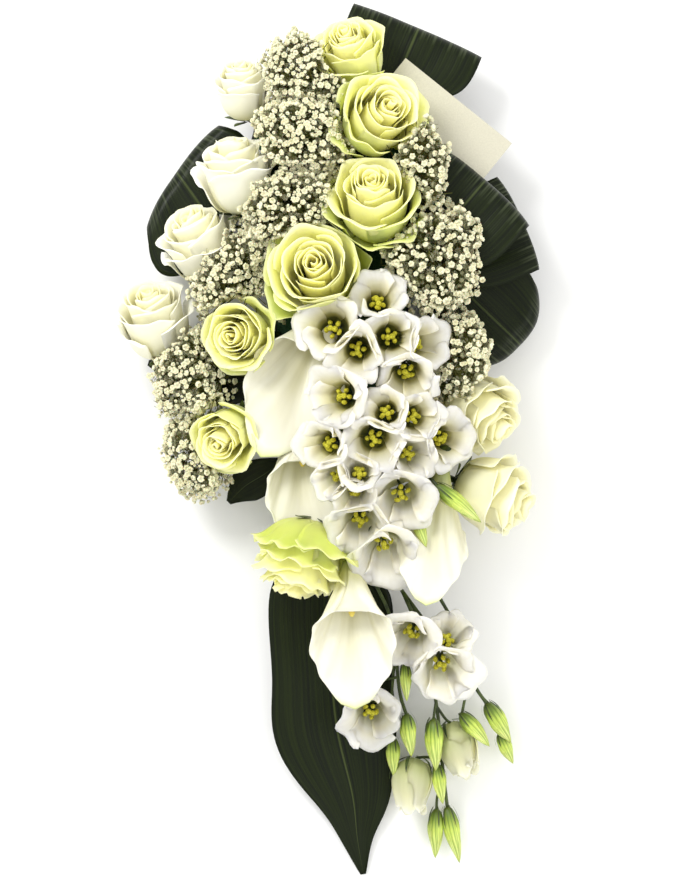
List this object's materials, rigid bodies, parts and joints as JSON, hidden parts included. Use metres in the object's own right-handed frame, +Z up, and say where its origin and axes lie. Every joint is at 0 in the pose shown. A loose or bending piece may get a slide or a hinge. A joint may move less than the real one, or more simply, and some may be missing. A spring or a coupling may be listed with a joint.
{
  "type": "teardrop funeral arrangement",
  "caption": "Teardrop spray of white and lime roses, callas, lisianthus and gypsophila with dark folded leaves, on a foam-filled tray.",
  "frame": {"origin": "on the surface under the tray, in the middle of its width, 0.1 m from the middle of its head towards the tail", "axes": "+Z up from the surface, +Y from the pointed end to the round head, +X to the right seen from above with the head away from the viewer"},
  "size_m": [0.3452, 0.7131, 0.1424],
  "materials": {
    "black_tray": "satin",
    "wet_foam": "matte, wet",
    "aspidistra_leaf": "glossy, fine parallel veins",
    "white_rose_petal": "soft matte",
    "lime_rose_petal": "soft matte",
    "calla_spathe": "waxy satin",
    "calla_spadix": "grainy matte",
    "lisianthus_petal": "soft matte",
    "lisianthus_bud": "satin",
    "gypsophila_floret": "matte",
    "white_card": "matte",
    "clear_pick": "gloss"
  },
  "bodies": {
    "root": {"tray": "black_tray", "foam": "wet_foam", "leaf_crown_loop": "aspidistra_leaf", "leaf_left_loop": "aspidistra_leaf", "leaf_right_roll": "aspidistra_leaf", "leaf_right_behind": "aspidistra_leaf", "leaf_right_loop": "aspidistra_leaf", "leaf_long_hanging": "aspidistra_leaf", "leaf_left_flat": "aspidistra_leaf", "leaf_lower_tip": "aspidistra_leaf", "white_rose_crown": "white_rose_petal", "white_rose_left_upper": "white_rose_petal", "white_rose_left": "white_rose_petal", "white_rose_left_lower": "white_rose_petal", "white_rose_right": "white_rose_petal", "white_rose_right_lower": "white_rose_petal", "lime_rose_crown": "lime_rose_petal", "lime_rose_upper": "lime_rose_petal", "lime_rose_heart": "lime_rose_petal", "lime_rose_middle": "lime_rose_petal", "lime_rose_left": "lime_rose_petal", "lime_rose_left_lower": "lime_rose_petal", "lime_rose_bottom": "lime_rose_petal", "calla_left": "calla_spathe", "calla_middle": "calla_spathe", "calla_bottom": "calla_spathe", "calla_right": "calla_spathe", "calla_left_spadix": "calla_spadix", "calla_middle_spadix": "calla_spadix", "calla_bottom_spadix": "calla_spadix", "calla_right_spadix": "calla_spadix", "lisianthus_spray_upper_left": "lisianthus_petal", "lisianthus_spray_upper_right": "lisianthus_petal", "lisianthus_spray_middle_left": "lisianthus_petal", "lisianthus_spray_middle_right": "lisianthus_petal", "lisianthus_spray_right": "lisianthus_petal", "lisianthus_spray_left": "lisianthus_petal", "lisianthus_spray_lower": "lisianthus_petal", "lisianthus_spray_trailing": "lisianthus_petal", "lisianthus_low_left": "lisianthus_petal", "lisianthus_half_open_left": "lisianthus_petal", "lisianthus_half_open_right": "lisianthus_petal", "bud_spray_right": "lisianthus_bud", "bud_spray_low_left": "lisianthus_bud", "bud_spray_low_middle": "lisianthus_bud", "bud_spray_low_right": "lisianthus_bud", "gypsophila_crown": "gypsophila_floret", "gypsophila_upper": "gypsophila_floret", "gypsophila_heart": "gypsophila_floret", "gypsophila_left": "gypsophila_floret", "gypsophila_left_low": "gypsophila_floret", "gypsophila_lower": "gypsophila_floret", "gypsophila_right_upper": "gypsophila_floret", "gypsophila_right": "gypsophila_floret", "gypsophila_right_low": "gypsophila_floret", "card": "white_card", "card_pick": "clear_pick"}
  },
  "joints": []
}
